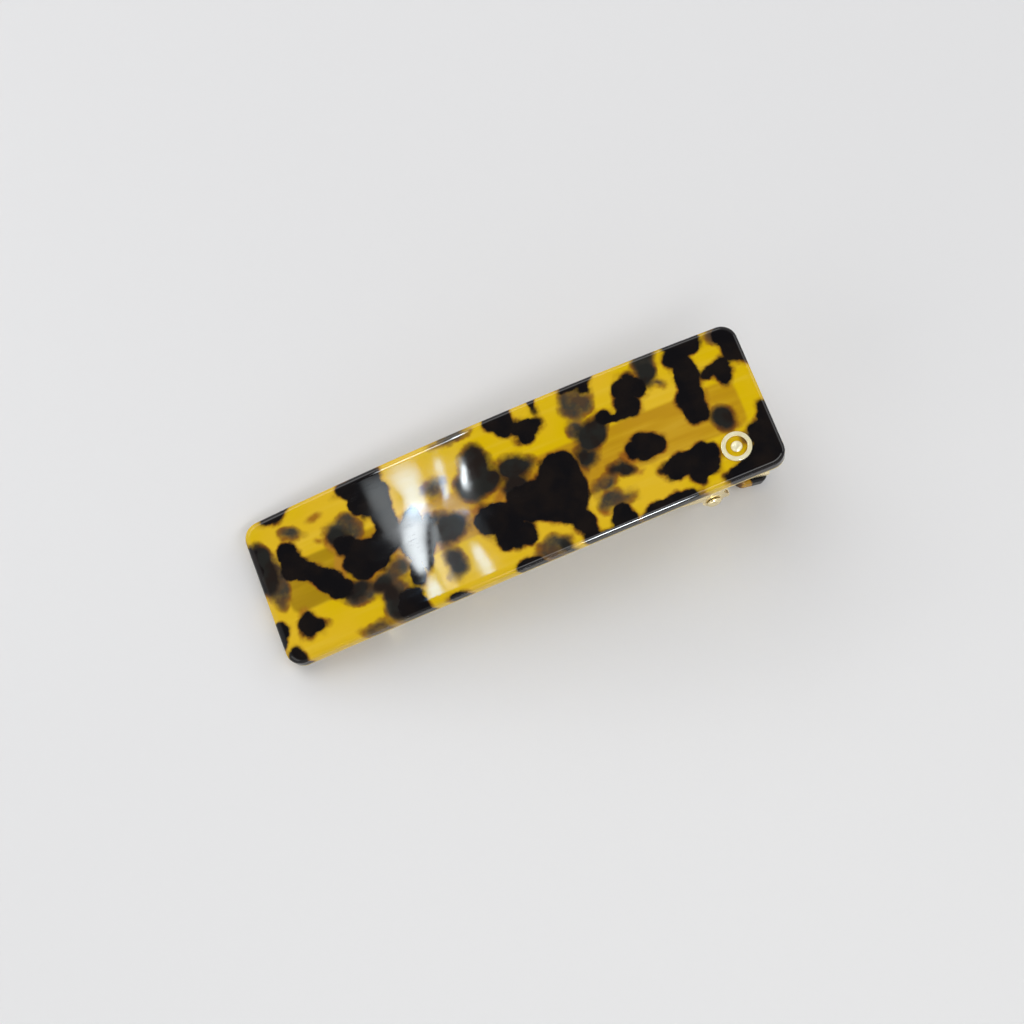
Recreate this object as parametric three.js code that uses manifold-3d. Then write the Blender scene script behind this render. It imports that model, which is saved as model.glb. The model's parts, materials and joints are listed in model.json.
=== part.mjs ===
// A rectangular hair clip: a bowed acetate plate on a sprung metal clip, which is
// squeezed open by a thumb pad. Millimetres, +X along the clip towards its hinge,
// +Y across it, +Z up. It stands as it lies on a table, on its jaw's tip and its pad.
import * as THREE from "three";
import { mergeVertices } from "three/addons/utils/BufferGeometryUtils.js";
import Module from "manifold-3d";

const wasm = await Module();
wasm.setup();

// Driving dimensions. Until the clip is laid down at the end, the origin is the
// middle of the plate's top face, and depths are measured down from there.
const plateLength = 84;
const plateEndWidth = 24.6;
const plateBarrel = 0.3; // how much each long side swells at its middle
const plateThickness = 3;
const plateRise = 1.8; // how far the middle stands above the ends
const plateCorner = 2.6;
const plateBevel = 0.7;
const bendStep = 10; // longest edge of a slab before it is bent

const sheet = 0.7; // thickness of the metal
const bondGap = 0.3; // the glue line between acetate and metal
const runningGap = 0.1;

const stripFront = -25;
const stripRear = 33;
const stripHalfWidth = 9.9;
const stripCorner = 2;

const pinX = 28.6;
const pinDepth = 11;
const pinRadius = 0.75;
const pinHeadRadius = 1.25;
const pinHeadThickness = 0.5;

const earRadius = 1.7;
const earInside = 10.3; // from the clip's middle to an ear's inner face
const earTopFront = 24.6;
const earTopRear = 32.4;
const earNeck = 1.4; // height above the pin where an ear starts to widen

const jawHalfWidth = 9.9;
const jawTipHalfWidth = 10.8;
const leverHalfWidth = 8;
const leverAngle = THREE.MathUtils.degToRad(28);
const leverLength = 12.3; // from the pin
const armUp = -1.8; // the arm's upper face, from the pin's centre
const flangeHeight = 1.5;
const flangeFront = -22.8;
const toothPitch = 1.2;
const toothDepth = 0.7;
const toothCount = 40;
const cheekRadius = 1.55;
const cheekFront = -4.5;
const cheekRear = 3.8;
const cheekLean = THREE.MathUtils.degToRad(40);

const padHalfWidth = 8.5;
const padThickness = 2;
const padFront = 7;
const padRear = 12.5;
const padCorner = 1.3;
const padBevel = 0.5;
const padUp = armUp - sheet - bondGap; // the pad's upper face, from the pin's centre

const wireRadius = 0.3;
const coilRadius = 1.3; // to the middle of the wire
const coilPitch = 0.72;
const coilTurns = 7;
const springLegReach = 9.5;
const springHookLength = 1.8;
const springHookLean = THREE.MathUtils.degToRad(60);

const studShank = 0.7;
const studHead = 1.5;
const studHeadThickness = 0.45;
const studDepth = 1.2; // how far a stud goes into the acetate
const stripStudsAt = [-19, 12];
const padStudsAt = [-5.5, 5.5];

const emblemX = 35.1;
const emblemY = -7.5;
const emblemRadius = 2.4;
const emblemHole = 1.7;
const emblemThickness = 0.35;
const emblemDotRadius = 0.9;

// The plate's faces are arcs about one centre, bowRadius below the top face's middle.
const bowRadius = (plateLength ** 2 / 4 + plateRise ** 2) / (2 * plateRise);
const stripTopDepth = plateThickness + bondGap;
const stripBottomDepth = stripTopDepth + sheet;

// The height at x of the arc that runs a given depth below the plate's top face.
function bowedHeight(x, depth) {
  return Math.sqrt((bowRadius - depth) ** 2 - x ** 2) - bowRadius;
}

// Bends a point of a flat plate, whose top face is z = 0, onto the arc.
function bow(point) {
  const turn = point[0] / bowRadius;
  const radius = bowRadius + point[2];
  point[0] = Math.sin(turn) * radius;
  point[2] = Math.cos(turn) * radius - bowRadius;
}

function solidOf(geometry) {
  const bare = geometry.clone();
  bare.deleteAttribute("normal");
  bare.deleteAttribute("uv");
  const merged = mergeVertices(bare, 1e-4);
  return new wasm.Manifold(
    new wasm.Mesh({
      numProp: 3,
      vertProperties: merged.attributes.position.array,
      triVerts: new Uint32Array(merged.index.array),
    }),
  );
}

function geometryOf(solid) {
  const mesh = solid.getMesh();
  return new THREE.BufferGeometry()
    .setAttribute("position", new THREE.BufferAttribute(mesh.vertProperties, 3))
    .setIndex(new THREE.BufferAttribute(mesh.triVerts, 1))
    .toNonIndexed();
}

function join(solids) {
  return solids.reduce((all, next) => all.add(next));
}

// Extrudes a shape drawn in x and z across the clip, from y = low to y = high.
function across(shape, low, high) {
  const flat = new THREE.ExtrudeGeometry(shape, {
    depth: high - low,
    bevelEnabled: false,
    curveSegments: 12,
  });
  return solidOf(flat.rotateX(Math.PI / 2).translate(0, high, 0));
}

// The same extrusion on both sides of the clip, between two distances from its middle.
function bothSides(shape, inside, outside) {
  return [across(shape, inside, outside), across(shape, -outside, -inside)];
}

function pinHole(shape) {
  const radius = pinRadius + runningGap;
  shape.holes.push(
    new THREE.Path().absarc(pinX, -pinDepth, radius, 0, 2 * Math.PI, true),
  );
}

// A rectangle in the plan with rounded corners; swell bows its long sides outwards.
function roundedPlan(left, right, halfWidth, corner, swell = 0) {
  const middle = (left + right) / 2;
  const quarter = Math.PI / 2;
  const inner = halfWidth - corner;
  const bulge = halfWidth + 2 * swell;
  return new THREE.Shape()
    .moveTo(left + corner, -halfWidth)
    .quadraticCurveTo(middle, -bulge, right - corner, -halfWidth)
    .absarc(right - corner, -inner, corner, -quarter, 0)
    .lineTo(right, inner)
    .absarc(right - corner, inner, corner, 0, quarter)
    .quadraticCurveTo(middle, bulge, left + corner, halfWidth)
    .absarc(left + corner, inner, corner, quarter, 2 * quarter)
    .lineTo(left, -inner)
    .absarc(left + corner, -inner, corner, 2 * quarter, 3 * quarter);
}

// A slab with its top face at z = top, its edges bevelled inside the plan.
function slab(plan, top, thickness, bevel) {
  return new THREE.ExtrudeGeometry(plan, {
    depth: thickness - 2 * bevel,
    bevelEnabled: bevel > 0,
    bevelThickness: bevel,
    bevelSize: bevel,
    bevelOffset: -bevel,
    bevelSegments: 2,
    curveSegments: 6,
  }).translate(0, 0, top - thickness + bevel);
}

function bent(flat) {
  return flat.refineToLength(bendStep).warp(bow);
}

// A solid of revolution about Z from a profile of [radius, height] pairs.
function turned(profile, segments) {
  const points = profile.map(([radius, height]) => new THREE.Vector2(radius, height));
  return new THREE.LatheGeometry(points, segments).rotateX(Math.PI / 2);
}

// A point of the side view in the lever's own directions: along it from the pin's
// centre, and up, square to it.
function fromPin(along, up) {
  return new THREE.Vector2(
    pinX + along * Math.cos(leverAngle) + up * Math.sin(leverAngle),
    up * Math.cos(leverAngle) - along * Math.sin(leverAngle) - pinDepth,
  );
}

// The arm's upper face in the side view, from the jaw's flared tip to the lever's end.
const armTop = new THREE.SplineCurve([
  new THREE.Vector2(-26.3, -8.1),
  new THREE.Vector2(-25.1, -6.7),
  new THREE.Vector2(-23.2, -5.95),
  new THREE.Vector2(-19, -5.8),
  new THREE.Vector2(-10, -6.2),
  new THREE.Vector2(0, -6.9),
  new THREE.Vector2(10, -7.8),
  new THREE.Vector2(17, -8.75),
  fromPin(-7.5, armUp),
  fromPin(-4, armUp),
  fromPin(0, armUp),
  fromPin(4, armUp),
  fromPin(leverLength, armUp),
]).getSpacedPoints(50);

// The height of the arm's upper face at x.
function armHeight(x) {
  const next = armTop.findIndex((point) => point.x >= x);
  const a = armTop[next - 1];
  const b = armTop[next];
  return a.y + ((b.y - a.y) * (x - a.x)) / (b.x - a.x);
}

// The side view of sheet metal whose upper face follows the points.
function ribbon(points) {
  const under = points.map((point, i) => {
    const before = points[Math.max(0, i - 1)];
    const after = points[Math.min(points.length - 1, i + 1)];
    const along = after.clone().sub(before).normalize();
    return new THREE.Vector2(
      point.x + along.y * sheet,
      point.y - along.x * sheet,
    );
  });
  return new THREE.Shape([...under, ...points.slice().reverse()]);
}

// The clearance around a stud's shank, with its axis along Z and its middle at the
// acetate's face.
function studHole() {
  const radius = studShank + runningGap;
  const height = 2 * (studDepth + runningGap);
  return new THREE.CylinderGeometry(radius, radius, height, 16).rotateX(Math.PI / 2);
}

function stripStudHoles() {
  const holes = stripStudsAt.map((x) => {
    const face = bowedHeight(x, plateThickness);
    return solidOf(studHole().translate(x, 0, face));
  });
  return join(holes);
}

// Here the lever's own directions are x and z, with the pin at the origin.
function padStudHoles() {
  const along = (padFront + padRear) / 2;
  const holes = padStudsAt.map((y) => solidOf(studHole().translate(along, y, padUp)));
  return join(holes);
}

// A stud that holds sheet metal to acetate: the acetate's face is z = 0, and the
// stud's round head is below.
function stud() {
  const headTop = -bondGap - sheet - runningGap;
  const headBottom = headTop - studHeadThickness;
  return turned(
    [
      [0, headBottom],
      [studHead * 0.7, headBottom],
      [studHead, headBottom + studHeadThickness / 2],
      [studHead, headTop],
      [studShank, headTop],
      [studShank, studDepth],
      [0, studDepth],
    ],
    20,
  );
}

function topPlate() {
  const end = plateLength / 2;
  const plan = roundedPlan(-end, end, plateEndWidth / 2, plateCorner, plateBarrel);
  const plate = bent(solidOf(slab(plan, 0, plateThickness, plateBevel)));
  return geometryOf(plate.subtract(stripStudHoles()));
}

// One of the two ears that hang from the strip and carry the pin.
function ear() {
  const neck = earNeck - pinDepth;
  const top = stripTopDepth + sheet / 2;
  const shape = new THREE.Shape()
    .moveTo(earTopRear, bowedHeight(earTopRear, top))
    .lineTo(earTopFront, bowedHeight(earTopFront, top))
    .lineTo(pinX - earRadius, neck)
    .absarc(pinX, -pinDepth, earRadius, Math.PI, 2 * Math.PI)
    .lineTo(pinX + earRadius, neck);
  pinHole(shape);
  return shape;
}

function baseStrip() {
  const plan = roundedPlan(stripFront, stripRear, stripHalfWidth, stripCorner);
  const earOutside = earInside + sheet;
  const shoulders = roundedPlan(earTopFront, earTopRear, earOutside, 0.5);
  const flat = join([
    solidOf(slab(plan, -stripTopDepth, sheet, 0)),
    solidOf(slab(shoulders, -stripTopDepth, sheet, 0)),
  ]);
  const metal = join([
    bent(flat),
    ...bothSides(ear(), earInside, earOutside),
  ]);
  return geometryOf(metal.subtract(stripStudHoles()));
}

// The toothed wall that stands along each edge of the jaw.
function toothedFlange() {
  const rear = flangeFront + toothCount * toothPitch;
  const shape = new THREE.Shape();
  shape.moveTo(flangeFront, armHeight(flangeFront) - sheet / 2);
  for (let tooth = 1; tooth <= toothCount; tooth += 2) {
    const x = flangeFront + tooth * toothPitch;
    shape.lineTo(x, armHeight(x) - sheet / 2);
  }
  shape.lineTo(rear, armHeight(rear) - sheet / 2);
  for (let tooth = toothCount; tooth > 0; tooth -= 1) {
    const x = flangeFront + tooth * toothPitch;
    const clearOfStrip = bowedHeight(x, stripBottomDepth) - bondGap;
    const tip = Math.min(armHeight(x) + flangeHeight, clearOfStrip);
    shape.lineTo(x, tip);
    shape.lineTo(x - toothPitch / 2, tip - toothDepth);
  }
  return shape;
}

// The wall that stands beside the hinge and turns on the pin.
function cheek() {
  const foot = armUp - sheet / 2;
  const outline = [
    fromPin(cheekFront, foot),
    fromPin(cheekRear, foot),
    fromPin(cheekRear, armUp + sheet / 2),
  ];
  const steps = 12;
  for (let i = 0; i <= steps; i += 1) {
    const turn = THREE.MathUtils.lerp(cheekLean, Math.PI - cheekLean, i / steps);
    outline.push(
      fromPin(cheekRadius * Math.cos(turn), cheekRadius * Math.sin(turn)),
    );
  }
  outline.push(fromPin(cheekFront, armUp + flangeHeight));
  const shape = new THREE.Shape(outline);
  pinHole(shape);
  return shape;
}

// The toothed jaw, its hinge cheeks and the lever are one stamping.
function jaw() {
  const tip = armTop.filter((point) => point.x < flangeFront);
  const blade = armTop.filter((point) => point.x < pinX + cheekRear);
  const holes = padStudHoles()
    .rotate([0, THREE.MathUtils.radToDeg(leverAngle), 0])
    .translate([pinX, 0, -pinDepth]);
  const inside = jawHalfWidth - sheet;
  const metal = join([
    across(ribbon(armTop), -leverHalfWidth, leverHalfWidth),
    across(ribbon(blade), -jawHalfWidth, jawHalfWidth),
    across(ribbon(tip), -jawTipHalfWidth, jawTipHalfWidth),
    ...bothSides(toothedFlange(), inside, jawHalfWidth),
    ...bothSides(cheek(), inside, jawHalfWidth),
  ]);
  return geometryOf(metal.subtract(holes));
}

function thumbPad() {
  const plan = roundedPlan(padFront, padRear, padHalfWidth, padCorner);
  const pad = solidOf(slab(plan, padUp, padThickness, padBevel));
  return geometryOf(pad.subtract(padStudHoles()));
}

// The pin lies along Y, with a round head outside each ear.
function hingePin() {
  const inside = earInside + sheet + runningGap;
  const outside = inside + pinHeadThickness;
  const half = [
    [pinRadius, inside],
    [pinHeadRadius, inside],
    [pinHeadRadius, (inside + outside) / 2],
    [pinHeadRadius * 0.7, outside],
    [0, outside],
  ];
  const mirrored = half.map(([radius, height]) => [radius, -height]).reverse();
  return turned([...mirrored, ...half], 24).rotateX(Math.PI / 2);
}

// The spring's wire, about the pin: a leg on the lever, the coil, and a hook under
// the strip.
function springPath() {
  const legTurn = -leverAngle - Math.PI / 2;
  const hookTurn = Math.PI / 2 + springHookLean - 2 * Math.PI * (coilTurns + 1);
  const sweep = hookTurn - legTurn;
  const width = (coilPitch * -sweep) / (2 * Math.PI);
  const points = [];
  const add = (x, y, z) => points.push(new THREE.Vector3(x, y, z));
  const leg = fromPin(springLegReach, -coilRadius);
  const root = fromPin(0, -coilRadius);
  for (let i = 0; i < 4; i += 1) {
    const share = i / 4;
    const x = THREE.MathUtils.lerp(leg.x, root.x, share) - pinX;
    const z = THREE.MathUtils.lerp(leg.y, root.y, share) + pinDepth;
    add(x, -width / 2, z);
  }
  const steps = 12 * coilTurns;
  for (let i = 0; i <= steps; i += 1) {
    const turn = legTurn + (sweep * i) / steps;
    const y = (i / steps - 0.5) * width;
    add(coilRadius * Math.cos(turn), y, coilRadius * Math.sin(turn));
  }
  const end = points[points.length - 1];
  const touching = stripBottomDepth + wireRadius + runningGap;
  const rise = bowedHeight(pinX, touching) + pinDepth - end.z;
  const hookX = end.x + rise / Math.tan(springHookLean);
  add((end.x + hookX) / 2, end.y, end.z + rise / 2);
  add(hookX, end.y, end.z + rise - wireRadius);
  const tipX = hookX + springHookLength;
  add(tipX, end.y, bowedHeight(pinX + tipX, touching) + pinDepth);
  return new THREE.CatmullRomCurve3(points);
}

function torsionSpring() {
  const section = new THREE.Shape().absarc(0, 0, wireRadius, 0, 2 * Math.PI);
  return new THREE.ExtrudeGeometry(section, {
    extrudePath: springPath(),
    steps: 130,
    curveSegments: 4,
    bevelEnabled: false,
  });
}

function emblemRing() {
  return turned(
    [
      [emblemHole, 0],
      [emblemRadius, 0],
      [emblemRadius, emblemThickness],
      [emblemHole, emblemThickness],
      [emblemHole, 0],
    ],
    40,
  );
}

function emblemDot() {
  return turned(
    [
      [0, 0],
      [emblemDotRadius, 0],
      [emblemDotRadius, emblemThickness * 0.5],
      [emblemDotRadius * 0.6, emblemThickness * 1.2],
      [0, emblemThickness * 1.4],
    ],
    24,
  );
}

const acetate = { color: 0xc98f12, roughness: 0.12, metalness: 0 };
const gold = { color: 0xd8b866, roughness: 0.25, metalness: 1 };
const steel = { color: 0xb9bcc0, roughness: 0.3, metalness: 1 };

function piece(name, geometry, finish) {
  const shaded = geometry.clone();
  shaded.computeVertexNormals();
  const mesh = new THREE.Mesh(shaded, new THREE.MeshStandardMaterial(finish));
  mesh.name = name;
  return mesh;
}

const clip = new THREE.Group();
clip.add(piece("top_plate", topPlate(), acetate));
clip.add(piece("base_strip", baseStrip(), gold));
clip.add(piece("jaw", jaw(), gold));

const emblem = new THREE.Group();
emblem.position.set(emblemX, emblemY, bowedHeight(emblemX, -runningGap));
emblem.rotation.y = Math.asin(emblemX / bowRadius);
emblem.add(piece("emblem_ring", emblemRing(), gold));
emblem.add(piece("emblem_dot", emblemDot(), gold));
clip.add(emblem);

const stripStudNames = ["strip_stud_front", "strip_stud_rear"];
stripStudsAt.forEach((x, i) => {
  const mesh = piece(stripStudNames[i], stud(), gold);
  mesh.position.set(x, 0, bowedHeight(x, plateThickness));
  mesh.rotation.y = Math.asin(x / bowRadius);
  clip.add(mesh);
});

const hinge = new THREE.Group();
hinge.position.set(pinX, 0, -pinDepth);
hinge.add(piece("hinge_pin", hingePin(), gold));
hinge.add(piece("torsion_spring", torsionSpring(), steel));
clip.add(hinge);

const lever = new THREE.Group();
lever.rotation.y = leverAngle;
lever.add(piece("thumb_pad", thumbPad(), acetate));
const padStudNames = ["pad_stud_right", "pad_stud_left"];
padStudsAt.forEach((y, i) => {
  const mesh = piece(padStudNames[i], stud(), gold);
  mesh.position.set((padFront + padRear) / 2, y, padUp);
  mesh.rotation.x = Math.PI;
  lever.add(mesh);
});
hinge.add(lever);

// The angle at which the jaw's tip and the pad both touch a table: a lowest point
// of each is found at the angle so far, and the angle is set to level the two.
function restingTilt() {
  clip.updateMatrixWorld(true);
  const corners = (name) => {
    const mesh = clip.getObjectByName(name);
    const place = mesh.geometry.getAttribute("position");
    const points = [];
    for (let i = 0; i < place.count; i += 1) {
      const corner = new THREE.Vector3().fromBufferAttribute(place, i);
      points.push(corner.applyMatrix4(mesh.matrixWorld));
    }
    return points;
  };
  const front = corners("jaw").filter((point) => point.x < 0);
  const rear = corners("thumb_pad");
  let tilt = 0;
  for (let round = 0; round < 6; round += 1) {
    const height = (point) => point.x * Math.sin(tilt) + point.z * Math.cos(tilt);
    const lowest = (all) => all.reduce((a, b) => (height(b) < height(a) ? b : a));
    const tip = lowest(front);
    const heel = lowest(rear);
    tilt = Math.atan2(tip.z - heel.z, heel.x - tip.x);
  }
  return tilt;
}

clip.rotation.y = -restingTilt();

const barrette = new THREE.Group();
barrette.add(clip);
const box = new THREE.Box3().setFromObject(barrette, true);
const centre = box.getCenter(new THREE.Vector3());
clip.position.set(-centre.x, -centre.y, -box.min.z);

export default barrette;
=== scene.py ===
"""A rectangular tortoiseshell hair clip on a pale table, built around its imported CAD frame.

Lengths are in millimetres until a piece is placed, and in metres from then on.
"""

import json
import math

import bmesh
import bpy
from mathutils import Matrix, Vector
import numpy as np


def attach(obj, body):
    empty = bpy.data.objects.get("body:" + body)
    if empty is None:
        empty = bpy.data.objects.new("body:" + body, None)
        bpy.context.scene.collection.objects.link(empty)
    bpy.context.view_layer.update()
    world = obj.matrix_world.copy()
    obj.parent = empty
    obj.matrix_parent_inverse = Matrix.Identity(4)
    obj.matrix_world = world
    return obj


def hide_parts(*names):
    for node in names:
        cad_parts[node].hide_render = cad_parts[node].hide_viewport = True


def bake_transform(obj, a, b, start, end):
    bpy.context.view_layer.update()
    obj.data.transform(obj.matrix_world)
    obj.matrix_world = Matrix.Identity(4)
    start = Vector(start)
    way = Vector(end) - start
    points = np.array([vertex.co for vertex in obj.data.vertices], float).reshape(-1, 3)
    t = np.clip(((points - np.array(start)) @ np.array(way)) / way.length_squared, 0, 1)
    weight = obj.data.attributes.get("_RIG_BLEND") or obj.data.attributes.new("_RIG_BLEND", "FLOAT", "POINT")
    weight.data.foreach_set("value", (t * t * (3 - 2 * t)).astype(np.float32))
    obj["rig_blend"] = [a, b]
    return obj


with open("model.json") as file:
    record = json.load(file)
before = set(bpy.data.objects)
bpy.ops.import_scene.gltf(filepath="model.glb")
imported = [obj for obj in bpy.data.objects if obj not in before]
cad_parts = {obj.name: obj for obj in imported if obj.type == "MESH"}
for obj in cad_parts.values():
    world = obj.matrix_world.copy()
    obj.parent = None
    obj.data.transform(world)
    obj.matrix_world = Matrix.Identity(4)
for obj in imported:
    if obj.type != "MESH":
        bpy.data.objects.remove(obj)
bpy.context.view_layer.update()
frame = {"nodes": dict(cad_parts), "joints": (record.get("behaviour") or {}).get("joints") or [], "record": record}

MM = 0.001

# The plate and its place on the clip, as in the CAD.
PLATE_LENGTH = 84.0
PLATE_HALF_WIDTH = 12.3
PLATE_BARREL = 0.3
PLATE_THICKNESS = 3.0
PLATE_RISE = 1.8
PLATE_CORNER = 2.6
PLATE_EDGE = (1.3, 0.7)  # how far the rounded edge reaches in, and down
BOW_RADIUS = (PLATE_LENGTH**2 / 4 + PLATE_RISE**2) / (2 * PLATE_RISE)

PIN_X = 28.6
PIN_DEPTH = 11.0
LEVER_ANGLE = math.radians(28)

PAD_FRONT = 7.0
PAD_REAR = 12.5
PAD_HALF_WIDTH = 8.5
PAD_TOP = -2.8
PAD_THICKNESS = 2.0
PAD_CORNER = 1.3
PAD_EDGE = (0.6, 0.5)
PAD_PATTERN_SHIFT = Vector((-6.2, 4.6, 0))  # the part of the pattern that the pad shows

STRIP_DEPTH = 4.0  # from the plate's top to the underside of the metal strip

WIRE_RADIUS = 0.3
COIL_RADIUS = 1.3
COIL_PITCH = 0.72
COIL_TURNS = 7
SPRING_LEG = 9.5
SPRING_HOOK = 1.8
SPRING_HOOK_LEAN = math.radians(60)

# The clip leans on its jaw and its pad. The pad's outer face in the record gives the
# lever's slope on the table, and so the slope of the whole clip.
pad_out = frame["record"]["mounts"][0]["axis"]
lever_slope = math.atan2(-pad_out[0], -pad_out[2])
clip_slope = lever_slope - LEVER_ANGLE
pin = Vector(frame["joints"][0]["pos_m"])

CLIP = (
    Matrix.Translation(pin)
    @ Matrix.Rotation(clip_slope, 4, "Y")
    @ Matrix.Scale(MM, 4)
    @ Matrix.Translation((-PIN_X, 0, PIN_DEPTH))
)
LEVER = Matrix.Translation(pin) @ Matrix.Rotation(lever_slope, 4, "Y") @ Matrix.Scale(MM, 4)

# The camera stands where it sees the plate from above, a little to its left and front.
# These values were fitted to the plate's outline. The distance was chosen among some
# that fitted about as well.
CAMERA_AZIMUTH = math.radians(-20.46)
CAMERA_ELEVATION = math.radians(69.67)
CAMERA_DISTANCE = 0.449
CAMERA_FIELD = math.radians(20.03)
CAMERA_AIM = Vector((-0.0013, -0.0034, 0.013))

# The blotches in the acetate, laid out on the flat plate after the real clip's
# pattern. Each is an ellipse: its middle, its half length and half width, and its turn
# in degrees. Neighbours melt into one another. These are near-black and at the surface.
DENSE = [
    (-36.4, 12.2, 2.3, 1.5, 0),
    (-42.4, 4.8, 1.4, 3.9, 0),
    (-36.1, 4.0, 1.6, 2.4, 0),
    (-36.2, 2.4, 1.8, 1.5, 0),
    (-34.0, 1.2, 3.2, 1.6, -42),
    (-31.3, -1.8, 3.9, 1.8, -48),
    (-29.9, -3.6, 1.7, 1.3, -20),
    (-26.9, 2.2, 2.1, 1.4, -15),
    (-25.2, -0.6, 2.6, 2.5, 0),
    (-22.4, -1.6, 1.5, 1.9, 0),
    (-24.6, -2.0, 3.0, 1.7, 0),
    (-23.0, 0.4, 1.6, 1.1, 0),
    (-21.0, 0.0, 1.7, 1.9, 0),
    (-22.4, 10.9, 2.7, 1.6, 0),
    (-22.5, 8.2, 1.6, 2.7, 8),
    (-19.8, 8.6, 2.0, 4.1, 0),
    (-19.6, 3.5, 1.7, 4.4, 6),
    (-37.0, -7.1, 1.5, 1.7, 0),
    (-35.8, -7.8, 1.3, 0.8, -20),
    (-40.8, -11.5, 1.4, 1.5, 0),
    (-42.2, -6.2, 2.0, 1.1, -5),
    (-41.9, -7.6, 0.6, 1.0, 0),
    (-20.3, -11.0, 2.0, 2.6, 0),
    (-17.7, -6.2, 1.1, 1.8, 0),
    (-14.8, -3.0, 1.0, 4.2, -20),
    (-16.4, -0.8, 2.0, 4.0, -8),
    (-14.0, -12.9, 1.2, 0.8, 0),
    (-3.2, -3.7, 3.0, 2.6, 0),
    (-5.2, -2.7, 1.3, 1.5, 0),
    (-1.8, -6.9, 2.7, 2.1, -15),
    (0.0, -8.0, 1.2, 1.4, 0),
    (-1.3, -13.0, 1.9, 1.5, 10),
    (2.2, 11.9, 2.2, 1.8, 0),
    (3.0, 10.2, 1.6, 1.5, -30),
    (5.4, 8.7, 1.6, 1.6, 0),
    (5.3, 7.2, 1.0, 1.0, 0),
    (7.0, 8.1, 1.1, 0.7, -5),
    (6.2, 9.3, 1.5, 0.7, -20),
    (8.2, 12.0, 0.6, 1.2, 0),
    (8.0, -1.6, 3.7, 3.8, 0),
    (10.0, 0.2, 1.7, 1.6, 0),
    (9.0, -4.5, 2.2, 2.5, 0),
    (3.2, -3.2, 4.1, 3.0, 0),
    (0.8, -2.4, 1.7, 2.1, 0),
    (6.6, -6.3, 3.5, 2.1, -25),
    (8.9, -9.2, 1.5, 2.1, 25),
    (9.6, -11.4, 0.9, 1.7, 0),
    (10.7, -12.9, 1.8, 0.8, 0),
    (15.6, 12.5, 2.2, 0.9, 0),
    (16.6, 11.2, 0.8, 0.9, 0),
    (17.6, 5.5, 0.9, 0.7, 0),
    (19.3, 4.5, 1.5, 0.4, -5),
    (14.9, -11.5, 1.6, 2.1, 0),
    (23.3, 8.3, 2.0, 1.7, -20),
    (21.8, 8.2, 0.9, 1.2, -20),
    (22.0, 6.0, 1.8, 1.9, -20),
    (21.8, 4.6, 1.4, 0.9, -15),
    (24.3, 7.0, 0.8, 1.0, -20),
    (22.2, -1.9, 2.5, 2.1, 0),
    (24.0, -2.3, 0.9, 1.0, 0),
    (22.5, -12.7, 4.5, 1.6, 0),
    (24.6, -11.8, 2.1, 0.9, -5),
    (33.3, 11.5, 2.8, 1.4, -8),
    (32.0, 9.8, 1.8, 1.8, 0),
    (34.4, 10.5, 1.6, 1.1, -10),
    (32.2, 6.8, 1.9, 3.4, -8),
    (31.7, 3.2, 2.0, 2.9, 0),
    (31.5, 0.8, 1.8, 2.3, -8),
    (37.9, 5.1, 1.5, 1.8, 0),
    (37.0, 5.9, 1.8, 0.7, 5),
    (35.4, 5.3, 0.9, 0.6, 0),
    (41.0, 10.2, 2.3, 2.9, 0),
    (41.4, 7.3, 1.9, 1.9, 0),
    (26.0, -6.9, 2.6, 1.6, 5),
    (28.6, -6.6, 2.9, 1.6, 0),
    (30.2, -7.6, 2.1, 2.1, 0),
    (29.2, -9.0, 1.7, 1.2, 10),
    (28.4, -10.1, 0.7, 0.8, 0),
    (36.6, -12.0, 4.5, 1.6, 0),
    (40.6, -11.0, 1.9, 2.3, 0),
    (39.3, -7.6, 1.5, 2.2, 0),
    (38.9, -9.3, 1.9, 1.3, 0),
    (36.6, -11.2, 3.6, 1.6, 12),
    (41.4, -5.5, 1.9, 3.3, -8),
    (40.8, -8.6, 1.9, 2.9, 0),
]
# As dark, but deeper in the sheet, so that their outlines are blurred.
DEEP = [
    (-40.6, 4.2, 2.0, 3.9, 0),
    (-3.5, 6.2, 2.3, 3.2, 0),
    (-4.2, 3.4, 3.2, 2.6, 0),
    (-1.6, 3.2, 1.6, 1.6, 0),
    (1.9, 3.0, 2.7, 2.1, 0),
    (1.4, 0.2, 2.0, 2.3, 0),
    (14.9, 3.0, 3.2, 2.1, 45),
    (13.0, 0.2, 1.6, 2.3, 0),
    (-10.7, -1.9, 3.1, 2.3, 0),
    (-12.7, 0.3, 0.9, 0.9, 0),
    (-11.6, -7.6, 1.7, 2.1, 0),
    (26.6, 9.3, 1.2, 1.9, 0),
    (27.3, 12.4, 1.5, 1.2, 0),
    (35.0, -2.5, 1.7, 2.0, 10),
    (17.7, -4.0, 1.6, 0.9, -25),
    (5.2, -12.3, 0.7, 1.4, 0),
    (-27.3, -5.2, 2.0, 1.2, -5),
    (-28.0, 4.2, 1.6, 1.7, 10),
    (-24.0, -5.8, 1.4, 1.2, 0),
    (-23.2, -8.0, 1.2, 1.8, 0),
    (-22.2, -10.4, 1.6, 2.2, 15),
]
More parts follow.
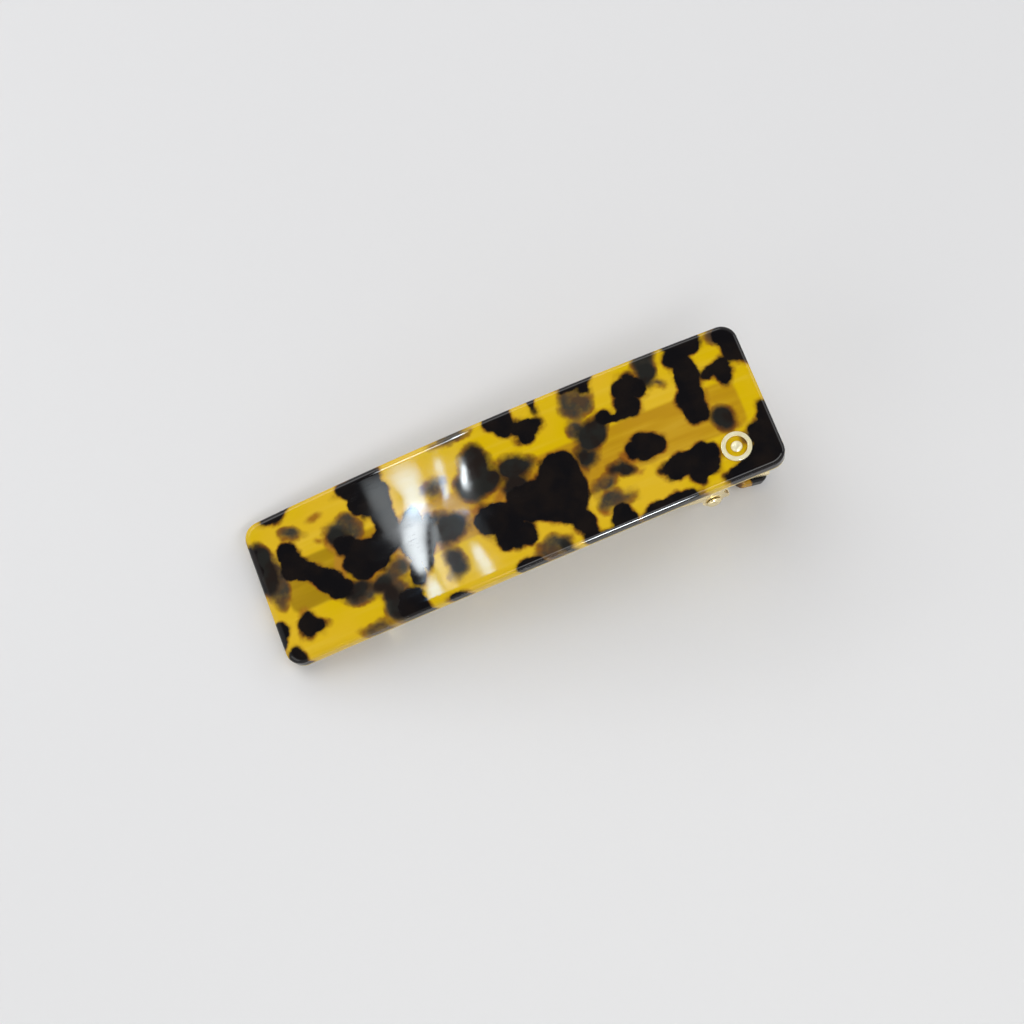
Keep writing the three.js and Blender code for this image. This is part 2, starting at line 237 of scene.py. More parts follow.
# Thin grey-brown ones, which let some amber through.
CLOUDY = [
    (-39.6, 2.0, 2.0, 4.2, 0),
    (-34.8, 8.2, 1.5, 0.7, -30),
    (-26.6, 4.7, 2.7, 2.4, 0),
    (-26.6, -5.9, 3.4, 1.6, -8),
    (-22.6, -7.0, 2.6, 2.2, -30),
    (-20.8, -4.6, 1.8, 1.6, 0),
    (-22.4, -10.0, 2.4, 2.8, 15),
    (-26.7, -12.3, 2.0, 1.4, 0),
    (-10.8, 5.4, 1.4, 1.4, 0),
    (-5.6, 11.9, 3.0, 1.1, 0),
    (2.9, -11.4, 2.7, 1.6, 0),
    (14.6, 9.0, 2.3, 2.5, 0),
    (13.1, 4.9, 1.2, 1.4, 0),
    (14.3, -5.0, 1.6, 1.1, 0),
    (14.6, -7.9, 1.9, 1.3, 0),
    (16.7, -8.3, 1.2, 0.6, -15),
    (27.7, 7.0, 1.2, 0.5, -35),
    (26.8, 10.9, 1.3, 1.3, 0),
    (38.7, 11.3, 1.4, 1.6, 0),
    (38.1, -6.9, 1.4, 0.8, 0),
]
# Small red-brown and orange ones.
RUSTY = [
    (-30.2, 8.8, 1.1, 0.5, 5),
    (-30.6, 4.8, 0.5, 0.3, -30),
    (-29.6, 3.4, 0.5, 1.0, 20),
    (-28.9, -0.5, 0.9, 2.6, -15),
    (-24.0, -5.0, 0.8, 0.7, 0),
    (-21.2, -7.7, 0.8, 0.6, 0),
    (-36.9, -4.9, 0.6, 0.6, 0),
    (-1.1, -0.2, 1.5, 0.8, 20),
    (-5.6, -0.7, 1.2, 0.5, 0),
    (13.6, 5.7, 0.7, 0.6, 0),
    (19.2, -2.6, 1.6, 1.0, -20),
    (19.9, -5.5, 0.6, 0.4, 20),
    (12.7, -9.4, 0.7, 0.4, -30),
]
BLOTCH_REACH = 2.5
BLOTCH_SLANT = 0.35  # how far blotches shift along the plate for each step down
BLOTCH_WANDER = 1.3
BLOTCH_JITTER = 0.3
BLOTCH_UNEVENNESS = 1.3

# The acetate's colours, as linear light.
LEMON = (0.69, 0.46, 0.001)
GOLDEN = (0.73, 0.465, 0.018)
SILKY = (0.85, 0.62, 0.10)
BAND_RIGHT = (0.42, 0.20, 0.008)
BAND_LEFT = (0.25, 0.135, 0.005)
RED_RIM = (0.24, 0.075, 0.008)
RUST_RED = (0.30, 0.10, 0.010)
RUST_ORANGE = (0.46, 0.22, 0.02)
CLOUD_BROWN = (0.080, 0.048, 0.026)
CLOUD_GREEN = (0.046, 0.042, 0.032)
DEEP_BROWN = (0.016, 0.011, 0.009)
DEEP_GREY = (0.018, 0.018, 0.016)
INK_COLD = (0.0045, 0.004, 0.005)
INK_WARM = (0.010, 0.007, 0.006)
# Painted light: the pale colour of the sheet's lower edge where it catches light from the table.
EDGE_LIGHT_COLOUR = (0.85, 0.68, 0.30)
ACETATE_IOR = 1.49
ACETATE_GLOSS = 0.35  # below the usual 0.5, to keep the edges dark

# The darker band, painted where the metal strip would show through the acetate.
BAND_HALF_LENGTH = 38.5
BAND_HALF_WIDTH = 4.1
BAND_MIDDLE = -0.7

# What the plate mirrors in the main view: bright bands of a window. Each has its
# strength, its colour and a row of points along its middle, as it lies on the plate
# when seen from the camera, with its half width. Other views mirror them elsewhere.
COOL = (0.90, 0.97, 1.0)
PALE = (0.30, 0.62, 1.0)
WINDOW_BANDS = [
    ("window_dim", 5.0, COOL, [(-19.1, 11.4, 2.0), (-18.9, 5.0, 1.9), (-18.4, -2.0, 1.1)]),
    ("window_upper", 26.0, PALE, [(-14.5, 10.9, 2.3), (-14.1, 6.0, 1.7), (-14.6, 1.8, 1.6)]),
    (
        "window_lower",
        35.0,
        COOL,
        [(-14.1, 3.8, 1.3), (-15.6, 1.2, 2.0), (-16.7, -2.0, 1.7), (-17.0, -7.6, 0.7)],
    ),
    ("window_frame", 8.0, COOL, [(-12.9, 0.6, 0.5), (-14.0, -6.0, 0.9), (-13.7, -12.0, 1.0)]),
    ("window_foot", 26.0, PALE, [(-16.3, -8.2, 0.7), (-16.4, -10.5, 1.2), (-16.5, -12.0, 1.4)]),
    ("window_streak", 26.0, PALE, [(-8.6, 10.2, 0.6), (-9.2, 5.0, 0.6), (-9.8, 1.6, 0.4)]),
    ("window_corner", 60.0, COOL, [(-4.9, 7.2, 0.25), (-5.6, 5.0, 0.45), (-6.1, 2.8, 0.3)]),
    ("window_low_streak", 24.0, PALE, [(-8.1, -5.5, 0.6), (-7.8, -9.0, 0.9), (-7.3, -12.0, 0.8)]),
    ("window_patch", 18.0, PALE, [(-9.0, 0.4, 0.3), (-8.0, -0.4, 0.7), (-7.0, -1.2, 0.3)]),
    (
        "window_haze",
        1.2,
        COOL,
        [(-8.0, 11.0, 3.4), (-8.5, 4.0, 3.0), (-9.5, -3.0, 3.4), (-9.0, -12.0, 3.8)],
    ),
]
# The same for the rounded edges, whose points are given by how far along the plate
# they lie and how many degrees their surface leans out from the plate's face.
EDGE_BANDS = [
    ("far_edge_line", 26.0, COOL, 6.0, [(-19.0, 2.5), (-15.0, 3.0), (-3.0, 1.6)]),
    ("far_edge_spark", 80.0, COOL, 8.0, [(-5.6, 2.4), (-2.6, 1.0)]),
    ("near_edge_line", 120.0, COOL, -44.0, [(7.0, 4.0), (29.0, 4.0)]),
]
WINDOW_DISTANCE = 0.9
RIBBON_SPILL = 1.3  # a ribbon is wider than its band, as its sides fade out


class Shading:
    """A material with short calls that each add a node and return its output."""

    def __init__(self, name):
        self.material = bpy.data.materials.new(name)
        self.material.use_nodes = True
        self.tree = self.material.node_tree
        self.shader = self.tree.nodes["Principled BSDF"]

    def feed(self, socket, value):
        if isinstance(value, bpy.types.NodeSocket):
            self.tree.links.new(value, socket)
        else:
            socket.default_value = value

    def add(self, kind, *values, **settings):
        made = self.tree.nodes.new(kind)
        for setting, value in settings.items():
            setattr(made, setting, value)
        for socket, value in zip(made.inputs, values):
            self.feed(socket, value)
        return made

    def math(self, operation, *values):
        return self.add("ShaderNodeMath", *values, operation=operation).outputs[0]

    def vector(self, operation, *values):
        made = self.add("ShaderNodeVectorMath", operation=operation)
        for socket, value in zip(made.inputs, values):
            self.feed(socket, value)
        return made.outputs["Value" if operation == "LENGTH" else "Vector"]

    def scaled(self, vector, factors):
        return self.vector("MULTIPLY", vector, factors)

    def noise(self, vector, scale, detail=2.0, output="Fac"):
        made = self.add("ShaderNodeTexNoise")
        self.feed(made.inputs["Vector"], vector)
        made.inputs["Scale"].default_value = scale
        made.inputs["Detail"].default_value = detail
        return made.outputs[output]

    def ramp(self, value, start, end, low=0.0, high=1.0):
        """Goes smoothly from low to high as the value goes from start to end."""
        made = self.add("ShaderNodeMapRange", value, start, end, low, high, interpolation_type="SMOOTHSTEP")
        return made.outputs["Result"]

    def mix(self, share, first, second):
        made = self.add("ShaderNodeMix", data_type="RGBA")
        self.feed(made.inputs["Factor"], share)
        for socket, value in zip(made.inputs[6:8], (first, second)):
            self.feed(socket, value if isinstance(value, bpy.types.NodeSocket) else (*value, 1.0))
        return made.outputs[2]

    def bump(self, height, distance, normal=None):
        made = self.add("ShaderNodeBump")
        made.inputs["Distance"].default_value = distance
        self.feed(made.inputs["Height"], height)
        if normal is not None:
            self.feed(made.inputs["Normal"], normal)
        return made.outputs["Normal"]

    def finish(self, **values):
        for name, value in values.items():
            self.feed(self.shader.inputs[name.replace("_", " ")], value)
        return self.material


def blotch_distance(shading, place, blotches, melt):
    """The distance from the nearest of the blotches, in millimetres, below 0 inside
    and at most BLOTCH_REACH. Each is a ball gradient, which falls from 1 at the
    blotch's middle to 0 at that reach."""
    place = shading.add("ShaderNodeMapping", place).outputs[0]
    nearest = None
    for x, y, length, width, turn in blotches:
        size = math.sqrt(length * width)
        stretch = 1 + BLOTCH_REACH / size
        local = shading.add("ShaderNodeMapping", vector_type="TEXTURE")
        shading.feed(local.inputs["Vector"], place)
        local.inputs["Location"].default_value = (x, y, 0)
        local.inputs["Rotation"].default_value = (0, 0, math.radians(turn))
        local.inputs["Scale"].default_value = (length * stretch, width * stretch, 1)
        ball = shading.add("ShaderNodeTexGradient", local.outputs[0], gradient_type="SPHERICAL")
        drop = -(size + BLOTCH_REACH)
        distance = shading.math("MULTIPLY_ADD", ball.outputs["Fac"], drop, BLOTCH_REACH)
        if nearest is None:
            nearest = distance
        else:
            nearest = shading.math("SMOOTH_MIN", nearest, distance, melt)
    return nearest


def tortoiseshell():
    """Polished acetate: amber with blotches. It's opaque, and its depth is painted."""
    s = Shading("tortoiseshell")
    place = s.add("ShaderNodeAttribute", attribute_name="flat").outputs["Vector"]

    # Blotches run through the sheet at a slant, and their outlines wander.
    split = s.add("ShaderNodeSeparateXYZ", place)
    depth = split.outputs["Z"]
    slant = s.math("MULTIPLY_ADD", depth, BLOTCH_SLANT, split.outputs["X"])
    plan = s.add("ShaderNodeCombineXYZ", slant, split.outputs["Y"], 0.0).outputs[0]
    wander = s.noise(plan, 0.45, 3.0, "Color")
    jitter = s.noise(plan, 1.5, 2.0, "Color")
    even = (0.5, 0.5, 0.5)
    wander = s.scaled(s.vector("SUBTRACT", wander, even), (BLOTCH_WANDER, BLOTCH_WANDER, 0))
    jitter = s.scaled(s.vector("SUBTRACT", jitter, even), (BLOTCH_JITTER, BLOTCH_JITTER, 0))
    blotted = s.vector("ADD", plan, s.vector("ADD", wander, jitter))

    # Amber, from lemon to gold, with faint silky lines along the sheet.
    patches = s.noise(plan, 0.06, 2.0)
    murk = s.noise(plan, 0.25, 3.0)
    silk = s.noise(s.scaled(plan, (0.05, 0.6, 1.0)), 1.0, 2.0)
    amber = s.mix(s.ramp(patches, 0.38, 0.62), LEMON, GOLDEN)
    amber = s.mix(s.ramp(silk, 0.45, 0.8, 0.0, 0.2), amber, SILKY)

    band = s.vector("ABSOLUTE", s.vector("SUBTRACT", plan, (0, BAND_MIDDLE, 0)))
    band = s.vector("SUBTRACT", band, (BAND_HALF_LENGTH, BAND_HALF_WIDTH, 0))
    band = s.add("ShaderNodeSeparateXYZ", band)
    band = s.math("SMOOTH_MAX", band.outputs["X"], band.outputs["Y"], 3.0)
    shade = s.ramp(silk, 0.35, 0.7, 0.74, 0.52)
    tint = s.mix(s.ramp(slant, -12.0, -32.0), BAND_RIGHT, BAND_LEFT)
    amber = s.mix(s.math("MULTIPLY", s.ramp(band, 0.35, -0.35), shade), amber, tint)

    # A pattern of cells pushes the blotches' outlines in and out, so they're uneven.
    facets = s.add("ShaderNodeTexVoronoi")
    s.feed(facets.inputs["Vector"], plan)
    facets.inputs["Scale"].default_value = 0.36
    crisp = s.math(
        "MULTIPLY_ADD", facets.outputs["Distance"], BLOTCH_UNEVENNESS, -BLOTCH_UNEVENNESS / 2
    )
    dense = s.math("ADD", blotch_distance(s, blotted, DENSE, 0.8), crisp)
    deep = s.math("ADD", blotch_distance(s, blotted, DEEP, 1.0), crisp)
    cloud = s.math("ADD", blotch_distance(s, blotted, CLOUDY, 1.0), crisp)
    rust = blotch_distance(s, blotted, RUSTY, 0.3)

    # All but the small rusty ones have a red-brown rim of uneven strength.
    uneven = s.ramp(s.noise(plan, 0.35, 2.0), 0.35, 0.65, 0.3, 0.9)
    nearest = s.math("SMOOTH_MIN", dense, s.math("MINIMUM", deep, cloud), 0.5)
    rim = s.math("MULTIPLY", s.ramp(nearest, 1.15, 0.3), uneven)
    colour = s.mix(rim, amber, RED_RIM)
    rust_colour = s.mix(s.ramp(murk, 0.42, 0.58), RUST_RED, RUST_ORANGE)
    colour = s.mix(s.ramp(rust, 0.7, -0.4, 0.0, 0.85), colour, rust_colour)

    # The cloudy ones are grey-brown to grey-green, and thin in places.
    cloud_colour = s.mix(s.ramp(murk, 0.4, 0.6), CLOUD_BROWN, CLOUD_GREEN)
    thickness = s.ramp(s.noise(plan, 0.6, 2.0), 0.3, 0.6, 0.85, 1.0)
    colour = s.mix(s.math("MULTIPLY", s.ramp(cloud, 0.85, -0.7), thickness), colour, cloud_colour)
    deep_colour = s.mix(s.ramp(murk, 0.4, 0.6), DEEP_BROWN, DEEP_GREY)
    colour = s.mix(s.ramp(deep, 1.0, -0.5), colour, deep_colour)
    ink = s.mix(s.ramp(murk, 0.35, 0.7), INK_COLD, INK_WARM)
    colour = s.mix(s.ramp(dense, 0.66, 0.06), colour, ink)

    # Painted light: a pale line along the lower edge of the sheet, where the edge catches light from the table.
    edge_light_share = s.math("MULTIPLY", s.ramp(depth, -1.8, -2.1, 0.0, 0.65), s.ramp(depth, -2.95, -2.7))
    colour = s.mix(edge_light_share, colour, EDGE_LIGHT_COLOUR)

    # A hand polish: smears in the gloss, hairline scratches, and a surface that is
    # very slightly uneven.
    smear = s.noise(s.scaled(plan, (0.3, 1.0, 1.0)), 0.35, 3.0)
    scratch = s.noise(s.scaled(plan, (0.25, 9.0, 1.0)), 1.3, 2.0)
    smeared = s.ramp(smear, 0.3, 0.75, 0.02, 0.06)
    roughness = s.math("ADD", smeared, s.ramp(scratch, 0.68, 0.8, 0.0, 0.04))
    swell = s.bump(s.noise(place, 0.11, 1.0), 0.00001)
    hairlines = s.bump(s.ramp(scratch, 0.66, 0.78), 0.0000003, swell)
    return s.finish(
        Base_Color=colour,
        Roughness=roughness,
        Normal=hairlines,
        IOR=ACETATE_IOR,
        Specular_IOR_Level=ACETATE_GLOSS,
    )


def plated_metal(name, bright, deep, smoothest, roughest, metallic=1.0):
    """Polished plating, with a faint grain along X and small cloudy marks."""
    s = Shading(name)
    place = s.scaled(s.add("ShaderNodeTexCoord").outputs["Object"], (1000, 1000, 1000))
    grain = s.noise(s.scaled(place, (0.12, 5.0, 5.0)), 1.2, 3.0)
    tarnish = s.noise(place, 0.45, 4.0)
    marks = s.noise(place, 2.6, 3.0)
    colour = s.mix(s.ramp(tarnish, 0.42, 0.72), bright, deep)
    roughness = s.math(
        "ADD",
        s.ramp(grain, 0.35, 0.7, smoothest, roughest),
        s.ramp(marks, 0.55, 0.75, 0.0, 0.09),
    )
    normal = s.bump(grain, 0.000006)
    return s.finish(Base_Color=colour, Metallic=metallic, Roughness=roughness, Normal=normal)


def table_top():
    """A plain pale surface whose tone and gloss drift a little."""
    s = Shading("table_top")
    place = s.add("ShaderNodeTexCoord").outputs["Object"]
    drift = s.noise(place, 2.2, 2.0)
    colour = s.mix(s.ramp(drift, 0.3, 0.7), (0.78, 0.78, 0.79), (0.82, 0.82, 0.825))
    return s.finish(Base_Color=colour, Roughness=s.ramp(drift, 0.3, 0.7, 0.5, 0.6))


def glow(name, colour, strength):
    """A light-giving surface that fades out where its "fade" attribute does."""
    material = bpy.data.materials.new(name)
    material.use_nodes = True
    tree = material.node_tree
    tree.nodes.clear()
    fade = tree.nodes.new("ShaderNodeAttribute")
    fade.attribute_name = "fade"
    level = tree.nodes.new("ShaderNodeMath")
    level.operation = "MULTIPLY"
    level.inputs[1].default_value = strength
    light = tree.nodes.new("ShaderNodeEmission")
    light.inputs["Color"].default_value = (*colour, 1.0)
    clear = tree.nodes.new("ShaderNodeBsdfTransparent")
    both = tree.nodes.new("ShaderNodeAddShader")
    out = tree.nodes.new("ShaderNodeOutputMaterial")
    tree.links.new(fade.outputs["Fac"], level.inputs[0])
    tree.links.new(level.outputs[0], light.inputs["Strength"])
    tree.links.new(light.outputs[0], both.inputs[0])
    tree.links.new(clear.outputs[0], both.inputs[1])
    tree.links.new(both.outputs[0], out.inputs["Surface"])
    return material


def bowed(point):
    """Bends a point of the flat plate, whose top face is z = 0, onto its arc."""
    turn = point.x / BOW_RADIUS
    radius = BOW_RADIUS + point.z
    return Vector((math.sin(turn) * radius, point.y, math.cos(turn) * radius - BOW_RADIUS))


def bowed_normal(x, normal):
    """Turns a direction on the flat plate as the bow turns it at x."""
    return Matrix.Rotation(x / BOW_RADIUS, 3, "Y") @ normal


def slab_side(length, half_width, corner, barrel):
    """The slab's outline on its far side, from right to left, as points each with
    the direction that faces out of it."""
    end = length / 2 - corner
    inner = half_width - corner
    steps = 10
    side = []

    def round_corner(middle, start):
        for i in range(steps + 1):
            turn = start + math.pi / 2 * i / steps
            out = Vector((math.cos(turn), math.sin(turn), 0))
            side.append((Vector((middle, inner, 0)) + out * corner, out))

    round_corner(end, 0)
    stations = max(2, round(2 * end / 1.5))
    for i in range(1, stations):
        x = end - 2 * end * i / stations
        slope = -2 * barrel * x / end**2
        y = half_width + barrel * (1 - (x / end) ** 2)
        side.append((Vector((x, y, 0)), Vector((-slope, 1, 0)).normalized()))
    round_corner(-end, math.pi / 2)
    return side


def edge_normal(edge, turn):
    """How far out and up an edge's surface faces, where turn goes from 0 at the
    slab's side to a quarter turn at its face."""
    reach, drop = edge
    facing = Vector((math.cos(turn) / reach, math.sin(turn) / drop)).normalized()
    return facing.x, facing.y


def rounded_slab(length, half_width, thickness, corner, edge, barrel=0.0):
    """The vertices, normals and faces of a slab under z = 0 with rounded edges."""
    side = slab_side(length, half_width, corner, barrel)
    mirror = Vector((1, -1, 1))
    outline = side + [(point * mirror, out * mirror) for point, out in reversed(side)]
    reach, drop = edge
    steps = 8
    quarter = [math.pi / 2 * i / steps for i in range(steps + 1)]
    profile = [(drop * math.sin(turn) - drop, turn) for turn in reversed(quarter)]
    profile += [(drop - drop * math.sin(turn) - thickness, -turn) for turn in quarter]
    points, normals, faces = [], [], []
    for height, turn in profile:
        inset = reach * (1 - math.cos(turn))
        outwards, upwards = edge_normal(edge, turn)
        for point, out in outline:
            points.append(point - out * inset + Vector((0, 0, height)))
            normals.append(out * outwards + Vector((0, 0, upwards)))
    around = len(outline)
    for ring in range(len(profile) - 1):
        for i in range(around):
            j = (i + 1) % around
            low, high = (ring + 1) * around, ring * around
            faces.append((high + i, low + i, low + j, high + j))
    bottom = (len(profile) - 1) * around
    for i in range(len(side) - 1):
        j = around - 1 - i
        faces.append((i, i + 1, j - 1, j))
        faces.append((bottom + j, bottom + j - 1, bottom + i + 1, bottom + i))
    return points, normals, faces


def new_piece(name, mesh, material):
    """A smooth object with one material, in the scene."""
    for polygon in mesh.polygons:
        polygon.use_smooth = True
    mesh.materials.clear()
    mesh.materials.append(material)
    made = bpy.data.objects.new(name, mesh)
    bpy.context.scene.collection.objects.link(made)
    return made


def slab_piece(name, slab, place, pattern_shift, material):
    """Makes a slab in its place; place gives a point and a normal's place in metres."""
    points, normals, faces = slab
    placed = [place(point, normal) for point, normal in zip(points, normals)]
    mesh = bpy.data.meshes.new(name)
    mesh.from_pydata([point for point, _ in placed], [], faces)
    flat = mesh.attributes.new("flat", "FLOAT_VECTOR", "POINT")
    for value, point in zip(flat.data, points):
        value.vector = point + pattern_shift
    made = new_piece(name, mesh, material)
    mesh.normals_split_custom_set_from_vertices([normal for _, normal in placed])
    return made


def top_plate(material):
    slab = rounded_slab(
        PLATE_LENGTH,
        PLATE_HALF_WIDTH,
        PLATE_THICKNESS,
        PLATE_CORNER,
        PLATE_EDGE,
        PLATE_BARREL,
    )
    turn = CLIP.to_3x3().normalized()

    def place(point, normal):
        return CLIP @ bowed(point), turn @ bowed_normal(point.x, normal)

    return slab_piece("acetate_plate", slab, place, Vector(), material)


def thumb_pad(material):
    slab = rounded_slab(
        PAD_REAR - PAD_FRONT,
        PAD_HALF_WIDTH,
        PAD_THICKNESS,
        PAD_CORNER,
        PAD_EDGE,
    )
    middle = Vector(((PAD_FRONT + PAD_REAR) / 2, 0, PAD_TOP))
    turn = LEVER.to_3x3().normalized()

    def place(point, normal):
        return LEVER @ (point + middle), turn @ normal

    return slab_piece("acetate_pad", slab, place, PAD_PATTERN_SHIFT, material)


def rounded_copy(name, node, edge, material):
    """A CAD node's shape with its flat facets merged and its sharp edges rounded."""
    shape = bmesh.new()
    shape.from_mesh(frame["nodes"][node].data)
    bmesh.ops.remove_doubles(shape, verts=shape.verts, dist=0.000002)
    bmesh.ops.dissolve_limit(
        shape, angle_limit=math.radians(0.5), verts=shape.verts, edges=shape.edges
    )
    sharp = [e for e in shape.edges if e.calc_face_angle(0) > math.radians(35)]
    bmesh.ops.bevel(
        shape,
        geom=sharp,
        offset=edge * MM,
        segments=2,
        profile=0.5,
        affect="EDGES",
        clamp_overlap=True,
    )
    mesh = bpy.data.meshes.new(name)
    shape.to_mesh(mesh)
    shape.free()
    for attribute in [a for a in mesh.attributes if a.name == "custom_normal"]:
        mesh.attributes.remove(attribute)
    made = new_piece(name, mesh, material)
    even = made.modifiers.new("even_shading", "WEIGHTED_NORMAL")
    even.keep_sharp = True
    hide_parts(node)
    return made


def spring_route():
    """The spring's wire about the pin: a leg on the lever, the coil, and a hook under
    the strip. The coil's width across the clip comes with it."""
    leg_turn = -LEVER_ANGLE - math.pi / 2
    hook_turn = math.pi / 2 + SPRING_HOOK_LEAN - 2 * math.pi * (COIL_TURNS + 1)
    sweep = hook_turn - leg_turn
    width = COIL_PITCH * -sweep / (2 * math.pi)
    root = Vector((math.cos(leg_turn), -width / 2 / COIL_RADIUS, math.sin(leg_turn))) * COIL_RADIUS
    along = Vector((math.cos(LEVER_ANGLE), 0, -math.sin(LEVER_ANGLE)))
    route = [root + along * SPRING_LEG * (1 - i / 6) for i in range(6)]
    steps = 28 * COIL_TURNS
    for i in range(steps + 1):
        turn = leg_turn + sweep * i / steps
        across = (i / steps - 0.5) * width
        route.append(Vector((math.cos(turn) * COIL_RADIUS, across, math.sin(turn) * COIL_RADIUS)))
    end = route[-1]
    gap = WIRE_RADIUS + 0.1

    def under_strip(x):
        radius = BOW_RADIUS - STRIP_DEPTH - gap
        return math.sqrt(radius**2 - (PIN_X + x) ** 2) - BOW_RADIUS + PIN_DEPTH

    rise = under_strip(end.x) - end.z - WIRE_RADIUS
    lean = Vector((rise / math.tan(SPRING_HOOK_LEAN), 0, rise))
    for share in (0.35, 0.7, 0.95):
        route.append(end + lean * share)
    knee = end.x + lean.x
    for reach in (0.25, 0.6, 1.0):
        x = knee + SPRING_HOOK * reach
        route.append(Vector((x, end.y, under_strip(x))))
    return route, width


def torsion_spring(material):
    """The spring, as a round wire that winds up as the jaw opens."""
    route, width = spring_route()
    wire = bpy.data.curves.new("spring_wire", "CURVE")
    wire.dimensions = "3D"
    wire.bevel_depth = WIRE_RADIUS * MM
    wire.bevel_resolution = 3
    wire.use_fill_caps = True
    wire.resolution_u = 2
    line = wire.splines.new("NURBS")
    line.points.add(len(route) - 1)
    turn = Matrix.Translation(pin) @ Matrix.Rotation(clip_slope, 4, "Y") @ Matrix.Scale(MM, 4)
    for point, target in zip(route, line.points):
        target.co = (*(turn @ point), 1)
    line.order_u = 3
    line.use_endpoint_u = True
    holder = bpy.data.objects.new("spring_wire", wire)
    mesh = bpy.data.meshes.new_from_object(holder)
    bpy.data.objects.remove(holder)
    closed = bmesh.new()
    closed.from_mesh(mesh)
    bmesh.ops.remove_doubles(closed, verts=closed.verts, dist=0.000001)
    closed.to_mesh(mesh)
    closed.free()
    made = new_piece("spring", mesh, material)
    half = Vector((0, width / 2 * MM, 0))
    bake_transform(made, "top", "lower_jaw", start=pin + half, end=pin - half)
    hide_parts("torsion_spring")
    return made


def camera():
    """Puts the camera in its place and returns that place."""
    data = bpy.data.cameras.new("camera")
    data.angle = CAMERA_FIELD
    made = bpy.data.objects.new("camera", data)
    bpy.context.scene.collection.objects.link(made)
    back = Vector(
        (
            math.sin(CAMERA_AZIMUTH) * math.cos(CAMERA_ELEVATION),
            -math.cos(CAMERA_AZIMUTH) * math.cos(CAMERA_ELEVATION),
            math.sin(CAMERA_ELEVATION),
        )
    )
    made.location = CAMERA_AIM + back * CAMERA_DISTANCE
    made.rotation_euler = back.to_track_quat("Z", "Y").to_euler()
    bpy.context.scene.camera = made
    return made.location.copy()


def softbox(name, azimuth, elevation, distance, width, height, radiance):
    """A rectangular lamp that faces the clip, with its angles in degrees. Azimuth 0 is
    in front, 90 to the right."""
    turn, rise = math.radians(azimuth), math.radians(elevation)
    level = math.cos(rise)
    towards = Vector((math.sin(turn) * level, -math.cos(turn) * level, math.sin(rise)))
    data = bpy.data.lights.new(name, "AREA")
    data.shape = "RECTANGLE"
    data.size = width
    data.size_y = height
    data.energy = radiance * math.pi * width * height
    made = bpy.data.objects.new(name, data)
    made.location = CAMERA_AIM + towards * distance
    made.rotation_euler = towards.to_track_quat("Z", "Y").to_euler()
    bpy.context.scene.collection.objects.link(made)
    return made


def mirrored_place(flat, normal, eye):
    """Where a thing stands that the eye sees mirrored at a point of the flat plate."""
    surface = CLIP @ bowed(flat)
    facing = CLIP.to_3x3().normalized() @ bowed_normal(flat.x, normal)
    towards = (surface - eye).normalized().reflect(facing)
    return surface + towards * WINDOW_DISTANCE


def face_place(x, y, eye):
    """The same for a point of the plate's top face."""
    return mirrored_place(Vector((x, y, 0)), Vector((0, 0, 1)), eye)


def edge_place(x, lean, eye):
    """The same for a point of a long edge, the far one where lean is above 0."""
    reach, drop = PLATE_EDGE
    side = math.copysign(1, lean)
    tilt = math.radians(abs(lean))
    turn = math.atan2(math.cos(tilt) * drop, math.sin(tilt) * reach)
    y = PLATE_HALF_WIDTH + PLATE_BARREL - reach * (1 - math.cos(turn))
    flat = Vector((x, side * y, drop * math.sin(turn) - drop))
    return mirrored_place(flat, Vector((0, side * math.sin(tilt), math.cos(tilt))), eye)


def spread(spine, steps):
    """More points along a row of points, evenly between each pair."""
    rows = []
    for start, end in zip(spine, spine[1:]):
        for i in range(steps):
            rows.append([a + (b - a) * i / steps for a, b in zip(start, end)])
    rows.append(list(spine[-1]))
    return rows


def light_ribbon(name, strength, colour, rows):
    """A ribbon of light with soft edges and ends, from rows of points across it."""
    shares = ribbon_shares()
    fades = [1 - abs(share) ** 3 for share in shares]
    points, fade, faces = [], [], []
    for k, row in enumerate(rows):
        end = min(1, min(k, len(rows) - 1 - k) / 2)
        points += row
        fade += [level * end for level in fades]
    count = len(shares)
    for k in range(len(rows) - 1):
        for i in range(count - 1):
            a = k * count + i
            faces.append((a, a + 1, a + count + 1, a + count))
    mesh = bpy.data.meshes.new(name)
    mesh.from_pydata(points, [], faces)
    layer = mesh.attributes.new("fade", "FLOAT", "POINT")
    layer.data.foreach_set("value", fade)
    made = new_piece(name, mesh, glow(name, colour, strength))
    made.visible_camera = False
    made.visible_diffuse = False
    made.visible_shadow = False


def ribbon_shares():
    """Places across a ribbon, from -1 to 1."""
    steps = 8
    return [2 * i / steps - 1 for i in range(steps + 1)]


def window(eye):
    """Ribbons of light, each where the plate mirrors it into the eye as laid out."""
    for name, strength, colour, spine in WINDOW_BANDS:
        rows = [
            [face_place(x + share * half * RIBBON_SPILL, y, eye) for share in ribbon_shares()]
            for x, y, half in spread(spine, 8)
        ]
        light_ribbon(name, strength, colour, rows)
    for name, strength, colour, lean, spine in EDGE_BANDS:
        rows = [
            [edge_place(x, lean + share * half, eye) for share in ribbon_shares()]
            for x, half in spread(spine, 12)
        ]
        light_ribbon(name, strength, colour, rows)


def floor():
    shape = bmesh.new()
    bmesh.ops.create_grid(shape, x_segments=8, y_segments=8, size=2.0)
    mesh = bpy.data.meshes.new("table")
    shape.to_mesh(mesh)
    shape.free()
    new_piece("table", mesh, table_top())


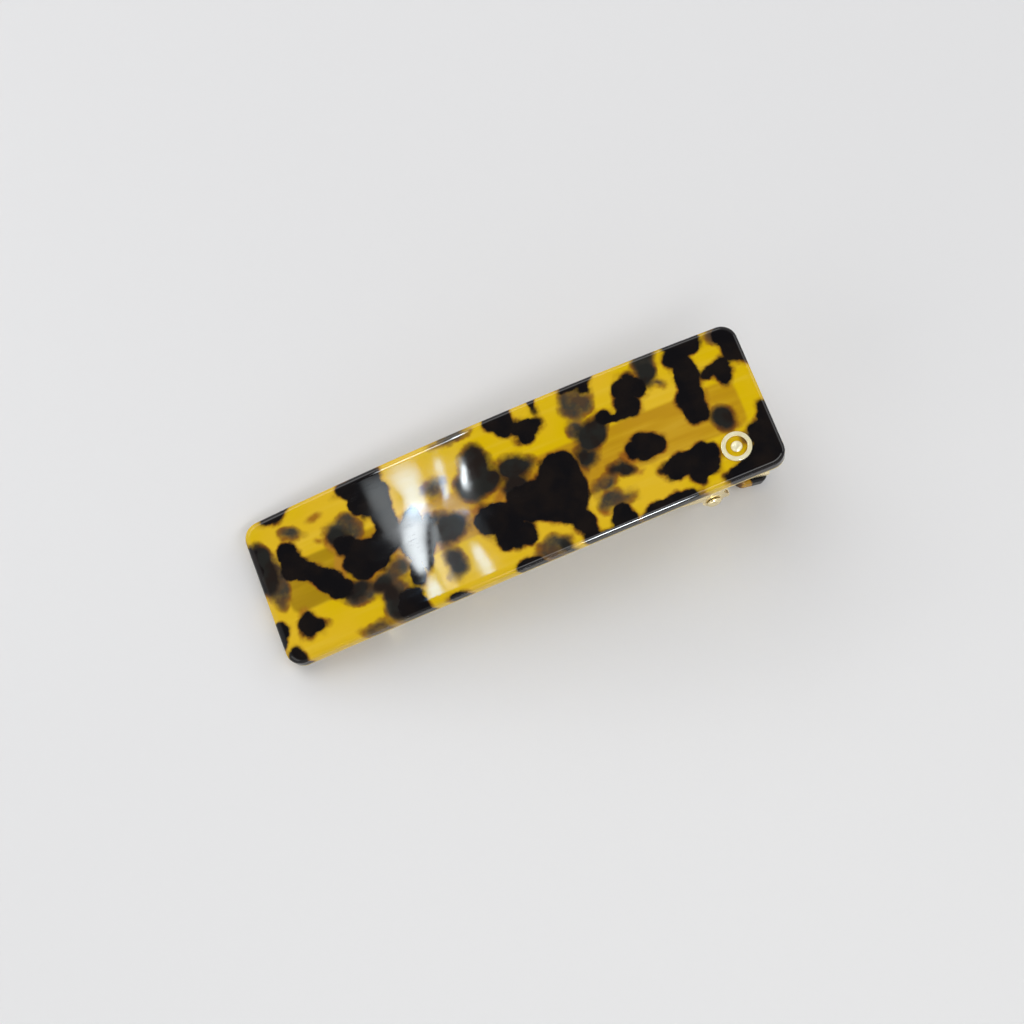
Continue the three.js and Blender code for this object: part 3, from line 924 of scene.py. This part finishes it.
def sky(low, high):
    """A room that is bright all round and dim overhead."""
    world = bpy.data.worlds.new("room")
    world.use_nodes = True
    tree = world.node_tree
    direction = tree.nodes.new("ShaderNodeTexCoord")
    split = tree.nodes.new("ShaderNodeSeparateXYZ")
    level = tree.nodes.new("ShaderNodeMapRange")
    level.interpolation_type = "SMOOTHSTEP"
    for socket, value in zip(level.inputs[1:5], (0.50, 0.78, low, high)):
        socket.default_value = value
    tree.links.new(direction.outputs["Generated"], split.inputs[0])
    tree.links.new(split.outputs["Z"], level.inputs["Value"])
    tree.links.new(level.outputs["Result"], tree.nodes["Background"].inputs["Strength"])
    tree.nodes["Background"].inputs["Color"].default_value = (1.0, 1.0, 1.0, 1.0)
    bpy.context.scene.world = world


window(camera())
floor()
sky(low=0.65, high=0.08)
# Each lamp: azimuth, elevation, distance, width, height and radiance.
softbox("front_strip", 25, 58, 1.6, 1.9, 0.35, 4.5)
softbox("far_strip", 200, 30, 1.5, 1.8, 0.35, 2.4)
softbox("left_lamp", 285, 28, 1.5, 0.9, 0.5, 1.3)
softbox("right_lamp", 100, 30, 1.5, 0.9, 0.5, 1.5)
# The window's own light. In gloss the ribbons stand for it, so it's hidden there.
daylight = softbox("daylight", 212, 62, 1.6, 1.3, 1.3, 1.5)
daylight.visible_glossy = False

acetate = tortoiseshell()
gold = plated_metal(
    "gold_plating",
    bright=(0.93, 0.80, 0.50),
    deep=(0.88, 0.74, 0.43),
    smoothest=0.2,
    roughest=0.34,
)
pale_gold = plated_metal(
    "pale_gold_plating",
    bright=(0.95, 0.88, 0.60),
    deep=(0.90, 0.79, 0.46),
    smoothest=0.3,
    roughest=0.42,
    metallic=0.35,
)
steel = plated_metal(
    "spring_wire",
    bright=(0.66, 0.66, 0.67),
    deep=(0.50, 0.50, 0.52),
    smoothest=0.2,
    roughest=0.34,
)

plate = top_plate(acetate)
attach(plate, "top")
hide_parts("top_plate")

pad = thumb_pad(acetate)
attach(pad, "lower_jaw")
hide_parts("thumb_pad")

# Each metal piece: the CAD node, its body, the rounding of its edges and its plating.
METAL = [
    ("base_strip", "top", 0.14, gold),
    ("jaw", "lower_jaw", 0.12, gold),
    ("hinge_pin", "top", 0.12, gold),
    ("strip_stud_front", "top", 0.1, gold),
    ("strip_stud_rear", "top", 0.1, gold),
    ("pad_stud_left", "lower_jaw", 0.1, gold),
    ("pad_stud_right", "lower_jaw", 0.1, gold),
    ("emblem_ring", "top", 0.09, pale_gold),
    ("emblem_dot", "top", 0.08, pale_gold),
]
for node, body, edge, plating in METAL:
    metal = rounded_copy(node + "_metal", node, edge, plating)
    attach(metal, body)
torsion_spring(steel)

bpy.context.scene.view_settings.view_transform = "Standard"
